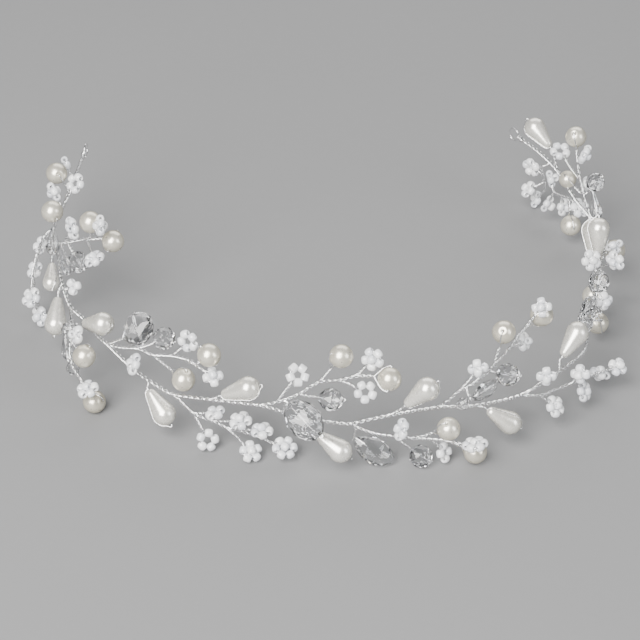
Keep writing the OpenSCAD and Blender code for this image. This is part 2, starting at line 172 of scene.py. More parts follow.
# tones are two places on the broad noise, each with its colour
finishes = {
    "ivoryPearl": {
        "tones": [(0.3, (0.71, 0.665, 0.555)), (0.7, (0.80, 0.77, 0.675))],
        "fineScale": 700, "broadScale": 120, "roughness": (0.26, 0.34), "bump": 0.05,
        "plain": {"IOR": 1.6, "Metallic": 0.64, "Specular Tint": (0.54, 0.50, 0.39, 1),
                  "Coat Weight": 0.4, "Coat Roughness": 0.18},
    },
    "dropPearl": {
        "tones": [(0.3, (0.83, 0.81, 0.74)), (0.7, (0.93, 0.91, 0.86))],
        "fineScale": 700, "broadScale": 100, "roughness": (0.24, 0.31), "bump": 0.05,
        "plain": {"IOR": 1.6, "Metallic": 0.64, "Specular Tint": (0.58, 0.55, 0.45, 1),
                  "Coat Weight": 0.4, "Coat Roughness": 0.18},
    },
    "clearCrystal": {
        "tones": [(0.3, (0.94, 0.95, 0.97)), (0.7, (1, 1, 1))],
        "fineScale": 400, "broadScale": 60, "roughness": (0.0, 0.03), "bump": 0.01,
        "plain": {"IOR": 1.58, "Transmission Weight": 1.0, "Specular IOR Level": 0.6},
    },
    "milkyGlass": {
        "tones": [(0.2, (0.76, 0.78, 0.82)), (0.8, (0.95, 0.955, 0.96))],
        "toneFrom": "beadTone",
        "fineScale": 900, "broadScale": 300, "roughness": (0.08, 0.2), "bump": 0.1,
        "plain": {"IOR": 1.5, "Transmission Weight": 0.12, "Coat Weight": 1.0,
                  "Coat Roughness": 0.08, "Subsurface Weight": 0.12,
                  "Subsurface Radius": (0.0005, 0.0005, 0.0005)},
    },
    "silverWire": {
        "tones": [(0.3, (0.82, 0.82, 0.83)), (0.7, (0.94, 0.94, 0.94))],
        "fineScale": 1500, "broadScale": 250, "roughness": (0.14, 0.24), "bump": 0.12,
        "plain": {"Metallic": 1.0},
    },
    "paleFloor": {
        "tones": [(0.3, (0.192, 0.194, 0.198)), (0.7, (0.204, 0.206, 0.21))],
        "fineScale": 300, "broadScale": 4, "roughness": (0.68, 0.72), "bump": 0.01,
        "plain": {},
    },
}
materials = {name: makeMaterial(name, m, surfaceSet) for name, m in finishes.items()}
print("materials made:", len(materials))


def meshObject(name, vertices, edges=(), faces=()):
    mesh = bpy.data.meshes.new(name)
    mesh.from_pydata([tuple(v) for v in vertices], list(edges), list(faces))
    mesh.update()
    obj = bpy.data.objects.new(name, mesh)
    scene.collection.objects.link(obj)
    return obj


floorHalf = 4  # metres
corners = [(x*floorHalf, y*floorHalf, 0) for x, y in ((-1, -1), (1, -1), (1, 1), (-1, 1))]
ground = meshObject("floor", corners, faces=[(0, 1, 2, 3)])
ground.data.materials.append(materials["paleFloor"])


# The vine's layout, in millimetres: a place is [angle round the ring, distance outside it, height]

ring = {"radius": 76, "centre": (-1.9, 14.5), "lookDown": 35}  # seen from outside, 35 degrees above

# branch it leaves, station there, its own places
branches = {
    "stem": [None, 0, [
        [-118.5, 3, 22], [-112.5, 0.5, 21], [-105, -1.5, 20.5], [-99, -2, 19.5], [-93, -1.5, 19],
        [-87, -2.5, 18.5], [-79.5, -3.5, 18.5], [-72.5, -3, 18], [-65, -2.5, 17], [-59, -3.5, 17],
        [-52, -3, 17], [-48.5, -2.5, 17.5], [-42, -1.5, 17], [-37.5, -1, 16], [-33, -1, 15],
        [-29.5, -1, 14.5], [-22, -1.5, 16], [-11.5, -1.5, 17.5], [-6.5, -1, 16.5], [-4, -1, 15],
        [1, -1.5, 14], [6, -1.5, 13], [10, -1.5, 14], [14, -1, 15], [23.5, -0.5, 15],
        [28.5, 1.5, 14.5], [31, 2, 14], [37, 3, 13], [40.5, 4, 13], [44, 5, 14],
        [50, 5.5, 14.5], [58, 6, 14.5], [65, 3, 13.5], [73.5, 1.5, 14.5], [84, 1, 15.5],
        [92, 3, 14], [98, 4.5, 14], [104, 3, 15.5], [110.5, 1.5, 17], [116.5, 2, 18.5],
        [121.5, 2.5, 19.5], [127, 2.5, 20.5], [132.5, 2, 21.5]]],
    "leftInner": ["stem", 5, [[-85.5, -6, 20], [-84, -10, 22], [-82, -12, 23.5], [-80, -15, 25]]],
    "leftLow": ["stem", 4, [[-91, 1, 17], [-86, 2.5, 16], [-81.5, 4, 13]]],
    "leftHang": ["stem", 8, [
        [-60, -0.3, 17.6], [-57, 1.5, 17], [-52.5, 5.5, 15.5], [-50, 7, 12.5], [-49, 6, 9.5]]],
    "frontLeftUp": ["stem", 11, [
        [-44, -3, 19.5], [-40, -3.5, 21.5], [-36.5, -4, 21.5], [-31.5, -4.5, 23.5],
        [-28, -4, 24.5], [-25.5, -4, 24]]],
    "frontLeftLow": ["stem", 15, [
        [-25.5, -2, 9.5], [-21.5, -3, 8], [-18.5, -3.5, 6.5], [-15, -4.5, 5.5], [-11.5, -4, 5]]],
    "frontUp": ["stem", 17, [
        [-8, -2.5, 18.5], [-4, -4.5, 20], [0, -6.5, 22.5], [4, -6, 23.5], [7.5, -6, 24.5],
        [11, -5.5, 24.5]]],
    "frontLow": ["stem", 21, [
        [10.5, 0.5, 11], [14.5, 1, 9.5], [17.5, 2, 9], [21.5, 3, 8], [24.5, 4, 7]]],
    "rightUp": ["stem", 24, [
        [26, -0.5, 16.5], [28, -0.5, 18.5], [30, 1, 20.5], [32.5, 1, 22], [35, 1, 24],
        [40, -1, 25], [44.5, -3, 26]]],
    "rightSpray": ["stem", 28, [
        [44, 6, 11.5], [48, 6.5, 10.5], [51.5, 7.5, 10], [55, 9, 9.5], [57, 9.5, 9]]],
    "rightInner": ["stem", 32, [[66, 3.5, 17], [67, 5, 19]]],
    "rightLow": ["stem", 32.5, [[70, 3, 12.5], [72, 4, 11]]],
    "backUp": ["stem", 37, [[106.5, 1.5, 21], [108, 1, 25], [110.5, 1.5, 28]]],
    "backLow": ["stem", 38, [[112.5, 1, 15.5], [116, 1, 13.5], [119, 1.5, 12]]],
    "backHang": ["stem", 40, [[123.5, 1, 18], [124, 2, 14.5], [124, 3.5, 9], [125, 4, 6.5]]],
}


def place(p):
    r = ring["radius"] + p[1]
    x, y = ring["centre"]
    return Vector((x + r*sin(radians(p[0])), y - r*cos(radians(p[0])), p[2]))*mm


def curveAt(points, s):  # smooth curve through the stations, whole numbers fall on them
    last = len(points) - 1
    i = min(floor(s), last - 1)
    t = s - i
    b, c = points[i], points[i + 1]
    a = points[i - 1] if i > 0 else 2*b - c
    d = points[i + 2] if i + 2 <= last else 2*c - b
    return 0.5*(2*b + (c - a)*t + (2*a - 5*b + 4*c - d)*t*t + (3*b - a - 3*c + d)*t**3)


def branchPoints(name):
    parent, station, own = branches[name]
    points = [place(p) for p in own]
    return points if parent is None else [wireAt(parent, station)] + points


def wireAt(name, s):
    return curveAt(branchPoints(name), s)


def wayAt(name, s, nudge=0.05):  # the wire's direction there, from two stations close by
    points = branchPoints(name)
    low, high = max(s - nudge, 0), min(s + nudge, len(points) - 1)
    return (curveAt(points, high) - curveAt(points, low)).normalized()


stepSet = {"wire": 0.4*mm, "strand": 0.3*mm}  # between the points of a path, fine round a bead


def samplePath(points, step=stepSet["wire"]):
    out = []
    for i in range(len(points) - 1):
        n = max(2, ceil((points[i + 1] - points[i]).length/step))
        out += [curveAt(points, i + k/n) for k in range(n)]
    return out + [points[-1]]


def beadSide(t, at, turn):  # across the view from outside and above, then turned about the stalk
    x, y = ring["centre"]
    out = Vector((at.x - x*mm, at.y - y*mm, ring["radius"]*mm*tan(radians(ring["lookDown"]))))
    across = out.cross(t).normalized()
    return across*cos(radians(turn)) + t.cross(across)*sin(radians(turn))


# Geometry Nodes: strands twisted along a path, and beads strung on points

def newTree(name, inputs):
    tree = bpy.data.node_groups.new(name, "GeometryNodeTree")
    tree.interface.new_socket("Geometry", in_out="INPUT", socket_type="NodeSocketGeometry")
    for label, kind in inputs:
        tree.interface.new_socket(label, in_out="INPUT", socket_type="NodeSocket" + kind)
    tree.interface.new_socket("Geometry", in_out="OUTPUT", socket_type="NodeSocketGeometry")
    return tree, tree.nodes.new("NodeGroupInput"), tree.nodes.new("NodeGroupOutput")


def maths(tree, operation, *values):
    node = tree.nodes.new("ShaderNodeMath")
    node.operation = operation
    for k, v in enumerate(values):
        if isinstance(v, (int, float)):
            node.inputs[k].default_value = v
        else:
            tree.links.new(v, node.inputs[k])
    return node.outputs[0]


def vectors(tree, operation, a, b=None, scale=None):
    node = tree.nodes.new("ShaderNodeVectorMath")
    node.operation = operation
    tree.links.new(a, node.inputs[0])
    if b is not None:
        tree.links.new(b, node.inputs[1])
    if scale is not None:
        tree.links.new(scale, node.inputs["Scale"])
    return node.outputs[0]


def finishTree(tree, shape, start, end):
    smooth = tree.nodes.new("GeometryNodeSetShadeSmooth")
    real = tree.nodes.new("GeometryNodeRealizeInstances")
    coat = tree.nodes.new("GeometryNodeSetMaterial")
    tree.links.new(shape, smooth.inputs["Geometry"])
    tree.links.new(smooth.outputs[0], real.inputs[0])
    tree.links.new(real.outputs[0], coat.inputs["Geometry"])
    tree.links.new(start.outputs["Material"], coat.inputs["Material"])
    tree.links.new(coat.outputs[0], end.inputs[0])


def buildTwist():
    tree, start, end = newTree("twistedStrands", [
        ("Strands", "Int"), ("Strand Diameter", "Float"), ("Apart", "Float"), ("Pitch", "Float"),
        ("Step", "Float"), ("Sides", "Int"), ("Material", "Material")])
    new, link = tree.nodes.new, tree.links.new
    curve = new("GeometryNodeMeshToCurve")
    link(start.outputs["Geometry"], curve.inputs[0])
    even = new("GeometryNodeResampleCurve")
    even.mode = "LENGTH"
    link(curve.outputs[0], even.inputs["Curve"])
    link(start.outputs["Step"], even.inputs["Length"])
    copies = new("GeometryNodeDuplicateElements")
    copies.domain = "SPLINE"
    link(even.outputs[0], copies.inputs["Geometry"])
    link(start.outputs["Strands"], copies.inputs["Amount"])
    along = new("GeometryNodeSplineParameter")
    normal, tangent = new("GeometryNodeInputNormal"), new("GeometryNodeInputTangent")
    turns = maths(tree, "DIVIDE", along.outputs["Length"], start.outputs["Pitch"])
    share = maths(tree, "DIVIDE", copies.outputs["Duplicate Index"], start.outputs["Strands"])
    angle = maths(tree, "MULTIPLY", maths(tree, "ADD", turns, share), 2*pi)
    half = maths(tree, "MULTIPLY", start.outputs["Apart"], 0.5)
    side = vectors(tree, "CROSS_PRODUCT", tangent.outputs[0], normal.outputs[0])
    one = vectors(tree, "SCALE", normal.outputs[0],
                  scale=maths(tree, "MULTIPLY", maths(tree, "COSINE", angle), half))
    two = vectors(tree, "SCALE", side,
                  scale=maths(tree, "MULTIPLY", maths(tree, "SINE", angle), half))
    moved = new("GeometryNodeSetPosition")
    link(copies.outputs["Geometry"], moved.inputs["Geometry"])
    link(vectors(tree, "ADD", one, two), moved.inputs["Offset"])
    section = new("GeometryNodeCurvePrimitiveCircle")
    link(start.outputs["Sides"], section.inputs["Resolution"])
    link(maths(tree, "MULTIPLY", start.outputs["Strand Diameter"], 0.5), section.inputs["Radius"])
    tube = new("GeometryNodeCurveToMesh")
    tube.inputs["Fill Caps"].default_value = True
    link(moved.outputs[0], tube.inputs["Curve"])
    link(section.outputs[0], tube.inputs["Profile Curve"])
    finishTree(tree, tube.outputs[0], start, end)
    return tree


def buildStrungBeads():
    tree, start, end = newTree("strungBeads", [
        ("Bead", "Object"), ("Jitter", "Float"), ("Seed", "Int"), ("Material", "Material")])
    new, link = tree.nodes.new, tree.links.new
    bead = new("GeometryNodeObjectInfo")
    link(start.outputs["Bead"], bead.inputs["Object"])
    axis = new("GeometryNodeInputNamedAttribute")
    axis.data_type = "FLOAT_VECTOR"
    axis.inputs["Name"].default_value = "beadAxis"
    turn = new("FunctionNodeAlignRotationToVector")
    turn.axis = "Z"
    link(axis.outputs["Attribute"], turn.inputs["Vector"])
    size = new("FunctionNodeRandomValue")
    size.data_type = "FLOAT"
    link(maths(tree, "SUBTRACT", 1.0, start.outputs["Jitter"]), size.inputs[2])
    size.inputs[3].default_value = 1.0
    link(start.outputs["Seed"], size.inputs["Seed"])
    strung = new("GeometryNodeInstanceOnPoints")
    link(start.outputs["Geometry"], strung.inputs["Points"])
    link(bead.outputs["Geometry"], strung.inputs["Instance"])
    link(turn.outputs[0], strung.inputs["Rotation"])
    link(size.outputs[1], strung.inputs["Scale"])
    tone = new("FunctionNodeRandomValue")
    tone.data_type = "FLOAT"
    link(start.outputs["Seed"], tone.inputs["Seed"])
    store = new("GeometryNodeStoreNamedAttribute")
    store.data_type = "FLOAT"
    store.domain = "INSTANCE"
    store.inputs["Name"].default_value = "beadTone"
    link(strung.outputs[0], store.inputs["Geometry"])
    link(tone.outputs[1], store.inputs["Value"])
    finishTree(tree, store.outputs[0], start, end)
    return tree


def socketId(tree, name):
    for item in tree.interface.items_tree:
        if item.name == name and item.in_out == "INPUT":
            return item.identifier
    raise KeyError(name)


def growPiece(name, source, tree, values):
    modifier = source.modifiers.new("grow", "NODES")
    modifier.node_group = tree
    for label, value in values.items():
        modifier[socketId(tree, label)] = value
    graph = bpy.context.evaluated_depsgraph_get()
    mesh = bpy.data.meshes.new_from_object(source.evaluated_get(graph))
    source.modifiers.remove(modifier)
    bpy.data.objects.remove(source)
    mesh.name = name
    obj = bpy.data.objects.new(name, mesh)
    scene.collection.objects.link(obj)
    return obj


def handOver(obj, node):  # one rigid body carries every piece
    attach(obj, "root")
    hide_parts(node)


twistTree, beadTree = buildTwist(), buildStrungBeads()
print("trees made:", twistTree.name, beadTree.name)


# Wire: every path is collected first, then grown into strands at the end

# strands in a wire, diameter of each, how far their axes lie apart, and length of one turn; a strand
# is bent at forks, eyes, pearls and stones, and the finer thread runs through drops and seed beads
wireSet = {
    "stem": {"Strands": 2, "Strand Diameter": 0.45*mm, "Apart": 0.68*mm, "Pitch": 3.4*mm},
    "sprig": {"Strands": 2, "Strand Diameter": 0.38*mm, "Apart": 0.56*mm, "Pitch": 3.0*mm},
    "stalk": {"Strands": 2, "Strand Diameter": 0.34*mm, "Apart": 0.46*mm, "Pitch": 2.4*mm},
    "strand": {"Strands": 1, "Strand Diameter": 0.36*mm, "Apart": 0.0, "Pitch": 2.0*mm},
    "thread": {"Strands": 1, "Strand Diameter": 0.27*mm, "Apart": 0.0, "Pitch": 2.0*mm},
}
growSet = {"Step": 0.26*mm, "Sides": 6}
# a fork's length at a sprig, and at a stalk, where it is at most stalkShare of it; bow is a share of
# the stalk, and spread and bend are shares of the fork
forkSet = {"sprigLength": 1.5*mm, "stalkLength": 1.1*mm, "stalkShare": 0.4, "bow": 0.03,
           "spread": 0.62, "bend": 0.55}
paths = {kind: [] for kind in wireSet}
rand = Random(7)  # for the bows of the stalks and the lie of the seed beads


def addFork(at, way, start):  # two strands leave the wire apart and meet where the twist starts
    reach = (start - at).length*forkSet["spread"]
    for sign in (-1, 1):
        foot = at + way*reach*sign
        paths["strand"].append(samplePath([foot, foot.lerp(start, forkSet["bend"]), start]))


def addStalk(branch, station, knot):
    at = wireAt(branch, station)
    whole = knot - at
    start = at + whole.normalized()*min(forkSet["stalkLength"], forkSet["stalkShare"]*whole.length)
    addFork(at, wayAt(branch, station), start)
    most = forkSet["bow"]
    bow = whole.orthogonal().normalized()*whole.length*rand.uniform(-most, most)
    paths["stalk"].append(samplePath([start, start.lerp(knot, 0.5) + bow, knot]))


def trimmed(points, length):  # the path without its first few millimetres
    gone = 0
    for i in range(1, len(points)):
        gone += (points[i] - points[i - 1]).length
        if gone >= length:
            return points[i:]
    return points[-2:]


paths["stem"].append(samplePath(branchPoints("stem")))
for name, (parent, station, own) in branches.items():
    if parent is None:
        continue
    path = trimmed(samplePath(branchPoints(name)), forkSet["sprigLength"])
    addFork(wireAt(parent, station), wayAt(parent, station), path[0])
    paths["sprig"].append(path)


# the wire ends half of over inside the eye's outer edge; the loop's angles are in degrees
eyeSet = {"diameter": 4.4, "wire": 0.7, "over": 1.1, "loopFrom": 20, "loopStep": 32, "loopPoints": 11,
          "coilTurns": 3, "coilSteps": 12, "coilFrom": 0.2, "coilRadius": 0.7, "coilPitch": 0.42}


def addEye(end, before, e):  # the wire's end bent into an eye, its tail wound round the neck
    out = (end - before).normalized()
    side = out.cross(Vector((0, 0, 1))).normalized()
    up = side.cross(out)
    r = (e["diameter"] - e["wire"])/2*mm
    centre = end + out*(e["diameter"] - e["over"])/2*mm
    loop = []
    for k in range(e["loopPoints"]):
        a = radians(e["loopFrom"] + e["loopStep"]*k)
        loop.append(centre - out*r*cos(a) + up*r*sin(a))
    tail = []
    for k in range(e["coilTurns"]*e["coilSteps"] + 1):
        a = 2*pi*k/e["coilSteps"]
        tail.append(end - out*(e["coilFrom"] + e["coilPitch"]*k/e["coilSteps"])*mm
                    + (side*cos(a) + up*sin(a))*e["coilRadius"]*mm)
    paths["strand"].append(samplePath([end, *loop, end]))
    paths["strand"].append(samplePath(tail, stepSet["strand"]))


stemPoints = branchPoints("stem")
addEye(stemPoints[0], stemPoints[1], eyeSet)
addEye(stemPoints[-1], stemPoints[-2], eyeSet)
print("paths of the main wire and sprigs made:", 1 + len(paths["sprig"]))


# Beads as turned shapes round their hole

sharpAngle = 50  # degrees; an edge that turns less stays smooth


def beadFrame(at, t, side):  # a bead's own axes, with x along side and z along t
    other = t.cross(side)
    return Matrix(((side.x, other.x, t.x, at.x), (side.y, other.y, t.y, at.y),
                   (side.z, other.z, t.z, at.z), (0, 0, 0, 1)))


def lathe(name, profile, around, matrix):  # a closed profile of (radius, height) turned about its axis
    n = len(profile)
    vertices, faces = [], []
    for j in range(around):
        a = 2*pi*j/around
        vertices += [matrix @ Vector((r*cos(a), r*sin(a), z)) for r, z in profile]
    for j in range(around):
        k = (j + 1) % around
        for i in range(n):
            m = (i + 1) % n
            faces.append((j*n + i, k*n + i, k*n + m, j*n + m))
    obj = meshObject(name, vertices, faces=faces)
    obj.data.shade_smooth()
    obj.data.set_sharp_from_angle(angle=radians(sharpAngle))
    return obj


def knotBefore(centre, t, length, gap):  # where a bead's strand meets its stalk
    return centre - t*(length/2 + gap)*mm


def bentEnd(centre, t, side, length, hook):  # the strand's end out of the far hole, bent over
    top = centre + t*length/2*mm
    return [top + (t*z + side*x)*mm for z, x in hook]


# hole and mouth are radii. The strand starts knot before the pearl, passes it wrap off its surface
# through the leg's angles, and goes in at the mouth; inside is a share of the half width, and close
# is the last step back to the knot
pearlSet = {"hole": 0.26, "mouth": 0.8, "mouthDepth": 0.22, "steps": 22, "around": 40,
            "wrap": 0.21, "knot": 1.0, "leg": (150, 134, 118, 102), "mouthGap": 0.16, "inside": 0.6,
            "close": 0.05}

# diameter, branch, station, turn of the hole about the stalk, centre
pearls = [
    [6, "stem", 2, 40, [-105, 2, 26]],
    [6, "stem", 4.5, 40, [-88, -2, 28]],
    [6, "leftInner", 3, 30, [-80.5, -12.5, 30]],
    [6, "leftInner", 4, 0, [-76.5, -18, 26]],
    [6, "leftHang", 2.5, 0, [-49, 4.5, 16.5]],
    [6, "leftHang", 5, 0, [-47, 4, 3]],
    [6, "frontLeftUp", 6, 30, [-22.5, -4, 28]],
    [6, "frontLeftUp", 3, 30, [-28, -3, 18.5]],
    [6, "frontUp", 3, 40, [4.5, -6, 31]],
    [6, "frontUp", 6, 0, [14, -3, 25]],
    [6, "frontLow", 3, 50, [24, 5, 12]],
    [6, "frontLow", 5, 60, [29, 7, 3.5]],
    [6, "rightUp", 5, 50, [39, -2, 30.5]],
    [6, "rightUp", 7, 30, [51, -2.5, 28]],
    [6, "rightLow", 2, 0, [75, 2.5, 7]],
    [6, "stem", 33.2, 0, [80.5, 0, 10.5]],
    [6, "stem", 35, 0, [95.5, 7.1, 12]],
    [6, "backLow", 1, 0, [111, 1.5, 7]],
    [5, "backUp", 1, 0, [113, 0.5, 21.5]],
    [6, "backUp", 3, 0, [115.5, 4, 33]]
]


def pearlProfile(d, p):
    r = d/2
    low = asin(p["mouth"]/r)
    arc = [low + (pi - 2*low)*k/p["steps"] for k in range(p["steps"] + 1)]
    top = r*cos(low) - p["mouthDepth"]
    return [(x*mm, z*mm) for x, z in
            [(p["hole"], -top), *[(r*sin(a), -r*cos(a)) for a in arc], (p["hole"], top)]]


def addPearlStrand(centre, t, side, long, wide, p):  # half the length and half the width of the bead
    gap = p["wrap"]*mm
    knot = centre - t*(long + gap + p["knot"]*mm)
    leg = [centre + t*cos(radians(a))*(long + gap) + side*sin(radians(a))*(wide + gap)
           for a in p["leg"]]
    mouth = centre + side*(wide + p["mouthGap"]*mm)
    inside = centre + side*wide*p["inside"]
    mirrored = [2*(centre + t*(q - centre).dot(t)) - q for q in (leg + [mouth, inside])]
    path = [knot, *leg, mouth, inside, centre, *mirrored[::-1], knot + t*p["close"]*mm]
    paths["strand"].append(samplePath(path, stepSet["strand"]))
    return knot


for k, (d, branch, station, turn, at) in enumerate(pearls, 1):
    centre = place(at)
    t = (centre - wireAt(branch, station)).normalized()
    side = beadSide(t, centre, turn)
    knot = addPearlStrand(centre, t, side, d/2*mm, d/2*mm, pearlSet)
    addStalk(branch, station, knot)
    bead = lathe(f"pearlBead_{k:02d}", pearlProfile(d, pearlSet), pearlSet["around"],
                 beadFrame(centre, side, t))
    bead.data.materials.append(materials["ivoryPearl"])
    handOver(bead, f"pearl_{k:02d}")
print("pearls made:", len(pearls))


# hole and mouth are radii, and tip is the narrow end's radius as a share of the diameter. The lips
# are how far the hole's edge stands out at each end. The strand bends over in the hook, (along,
# aside) from the wide end, and hugs the bead from clear aside of its axis down to the knot
dropSet = {"hole": 0.26, "mouth": 0.5, "mouthDepth": 0.06, "tip": 0.23, "around": 36,
           "tipSteps": 5, "endSteps": 18, "lowLip": 0.02, "highLip": 0.04, "wrap": 0.15, "knot": 0.8,
           "hook": ((0.1, 0), (0.45, 0.02), (0.72, 0.16), (0.78, 0.42), (0.62, 0.7), (0.36, 0.9)),
           "clear": 1.1}

# diameter, length, branch, station, side the strand comes back on, place at the tip, centre
drops = [
    [4.6, 9, "stem", 5, 0, [-82.5, -1.5, 16], [-79, -1, 14.5]],
    [6, 10.4, "stem", 7, 180, [-70, -1, 16], [-67.5, 0.6, 12.1]],
    [6, 10.4, "stem", 9.5, 180, [-55.5, -1, 19.5], [-52, -2.5, 21.5]],
    [6, 10.4, "stem", 13.5, 165, [-35, 0, 13.5], [-32, 0.5, 10]],
    [6, 10.4, "stem", 16, 180, [-19, -1.5, 18.5], [-15.5, -2.5, 20.5]],
    [6, 10.4, "stem", 18, 270, [0, 0, 11], [3, 1.5, 8.5]],
    [6, 10.4, "stem", 23, 180, [16.5, -0.5, 17.5], [19.5, 0.5, 21.5]],
    [6, 10.4, "stem", 26, 60, [32.5, 3, 13], [35.5, 5.5, 9.5]],
    [6, 10.4, "stem", 30, 180, [52.5, 3.5, 16], [55.5, 4, 19.5]],
    [6, 10.4, "stem", 34.5, 270, [90, 0.9, 17], [91.5, 0.9, 20.5]],
    [6, 10.4, "stem", 34.9, 270, [93.5, 0.3, 13], [95.3, 0.4, 16.5]],
    [6, 10.4, "stem", 39.5, 270, [123, 3, 24], [126.5, 2.5, 26.5]]
]


def dropOutline(d, length, p, off=0.0):  # two round ends and the flank that touches both
    tip = p["tip"]
    lean = asin((0.5 - tip)*d/(length - (0.5 + tip)*d))
    small, big = tip*d + off, d/2 + off
    lowAt, highAt = tip*d - length/2, length/2 - d/2
    outer = []
    for k in range(p["tipSteps"] + 1):
        a = -pi/2 + k*(pi/2 - lean)/p["tipSteps"]
        outer.append((small*cos(a), lowAt + small*sin(a)))
    for k in range(p["endSteps"] + 1):
        a = -lean + k*(pi/2 + lean)/p["endSteps"]
        outer.append((big*cos(a), highAt + big*sin(a)))
    return outer


def dropProfile(d, length, p):  # the outline, with the hole and its mouths
    mouth = p["mouth"]
    kept = [(x, z) for x, z in dropOutline(d, length, p) if x >= mouth]
    low, high = kept[0][1] - p["lowLip"], kept[-1][1] + p["highLip"]
    return [(x*mm, z*mm) for x, z in
            [(p["hole"], low + p["mouthDepth"]), (mouth, low), *kept, (mouth, high),
             (p["hole"], high - p["mouthDepth"])]]


def addDropStrand(centre, t, side, d, length, p):
    knot = knotBefore(centre, t, length, p["knot"])
    hook = bentEnd(centre, t, side, length, p["hook"])
    outline = [centre + (t*z + side*x)*mm for x, z in dropOutline(d, length, p, p["wrap"])[::-1]]
    outer = [q for q in outline if (q - centre).dot(side) > p["clear"]*mm or (q - centre).dot(t) < 0]
    paths["thread"].append([knot, *hook, *outer, knot])
    return knot


for k, (d, length, branch, station, turn, tip, at) in enumerate(drops, 1):
    centre = place(at)
    t = (centre - place(tip)).normalized()
    side = beadSide(t, centre, turn)
    knot = addDropStrand(centre, t, side, d, length, dropSet)
    addStalk(branch, station, knot)
    bead = lathe(f"dropBead_{k:02d}", dropProfile(d, length, dropSet), dropSet["around"],
                 beadFrame(centre, t, side))
    bead.data.materials.append(materials["dropPearl"])
    handOver(bead, f"drop_pearl_{k:02d}")
print("drops made:", len(drops))


# Cut stones: rings of facets, share of the length against share of the width

cuts = {
    "round": {"sides": 10, "rings": [(0, 0.34), (0.2, 0.82), (0.5, 1), (0.8, 0.82), (1, 0.34)]},
    "oval": {"sides": 12, "rings": [
        (0, 0.3), (0.14, 0.68), (0.36, 0.96), (0.62, 1), (0.86, 0.7), (1, 0.3)]},
    "drop": {"sides": 8, "rings": [
        (0, 0.34), (0.25, 0.55), (0.55, 0.9), (0.75, 1), (0.92, 0.72), (1, 0.36)]},
}
# the hook is (along, aside) from the far end, as on a drop pearl
stoneSet = {"knot": 0.8, "hook": ((0.2, 0), (0.55, 0.3), (0.5, 0.75), (0.15, 0.8))}
# a V over and under a stone that is drilled across: bore is a share of its length, shoulder and face
# are shares of its thickness, and the others are millimetres
crossSet = {"knot": 0.8, "bore": 0.25, "apart": 0.55, "before": 1.0, "aside": 0.3, "shoulder": 0.42,
            "face": 0.45}

# diameter, branch, station, centre
rounds = [
    [6, "leftInner", 1, [-79, -8.5, 18.5]],
    [6, "frontLeftUp", 2, [-34, -5.5, 27]],
    [6, "frontUp", 2, [2.5, -4, 19]],
    [6, "frontLow", 2, [19.6, 2.6, 2.94]],
    [6, "rightUp", 4.5, [37, 3.5, 21.5]],
    [5.4, "backUp", 1, [105.5, 4, 26]],
    [6, "stem", 32.8, [75.5, 1.5, 20]]
]
smallRounds = [
    [5, "leftHang", 1, [-60.5, 0, 13.5]],
    [3.8, "leftHang", 4.5, [-54.5, 3.5, 7.5]],
    [3.2, "stem", 24.5, [27, 4, 18]],
    [4.4, "stem", 32, [62.5, 3, 18.5]]
]
# width, thickness, length, branch, station, place at the near end, centre, how it is strung
ovals = [
    [8.6, 5.6, 9.4, "stem", 11, [-45, -3.5, 21], [-41.5, -6, 25.5], "hugged"],
    [8.8, 4.6, 11.6, "stem", 18, [-5.5, 1.5, 21.5], [-2.5, 4.5, 19], "along"],
    [4, 3.2, 8.5, "rightUp", 2.5, [29.5, 3.5, 18], [32.5, 2.5, 18.5], "along"],
    [6.8, 3.6, 11, "frontLow", 0.3, [8, -1.5, 7], [11, -0.5, 4.5], "across"]
]
# width, length, branch, station, place at the tip, centre
narrowDrops = [
    [4, 9, "stem", 4, [-89, -2, 22.5], [-84, -2, 21.5]],
    [3.2, 8, "leftInner", 0.5, [-79, -4.5, 23.5], [-75, -4.5, 22]],
    [3, 7, "leftHang", 1.5, [-57, 3.5, 16], [-56, 4, 13.5]],
    [3.6, 8, "rightInner", 0.5, [64.5, 0.5, 18], [67, 1, 19]],
    [3.2, 8, "backUp", 1, [107, 5, 20], [105.5, 5, 18]]
]


def cutStone(name, cut, width, thick, length, matrix):
    sides, rings = cut["sides"], cut["rings"]
    vertices, faces = [], []
    for i, (share, wide) in enumerate(rings):
        for j in range(sides):
            a = 2*pi*(j + (i % 2)/2)/sides
            vertices.append(matrix @ Vector((width/2*wide*cos(a)*mm, thick/2*wide*sin(a)*mm,
                                             (share - 0.5)*length*mm)))
    for i in range(len(rings) - 1):
        for j in range(sides):
            k, a, b = (j + 1) % sides, i*sides, (i + 1)*sides
            if i % 2 == 0:
                faces += [(a + j, a + k, b + j), (b + j, a + k, b + k)]
            else:
                faces += [(a + j, b + k, b + j), (a + j, a + k, b + k)]
    faces.append(tuple(range(sides))[::-1])
    faces.append(tuple(range((len(rings) - 1)*sides, len(rings)*sides)))
    obj = meshObject(name, vertices, faces=faces)
    obj.data.materials.append(materials["clearCrystal"])
    return obj


def addStoneStrand(centre, t, side, length, p):
    knot = knotBefore(centre, t, length, p["knot"])
    hook = bentEnd(centre, t, side, length, p["hook"])
    paths["strand"].append(samplePath([knot, centre, *hook], stepSet["strand"]))
    return knot


def addCrossStrand(centre, t, side, length, thick, p):
    knot = knotBefore(centre, t, length, p["knot"])
    bore = centre - t*length*p["bore"]*mm
    through = t.cross(side)
    legs = []
    for sign in (-1, 1):
        foot = knot + side*p["apart"]*sign*mm
        shoulder = (bore - t*p["before"]*mm + through*(thick*p["shoulder"]*sign)*mm
                    + side*p["aside"]*sign*mm)
        legs.append([foot, shoulder, bore + through*(thick*p["face"]*sign)*mm])
    under, over = samplePath(legs[0], stepSet["strand"]), samplePath(legs[1][::-1], stepSet["strand"])
    paths["strand"].append([knot, *under, bore, *over, knot])
    return knot


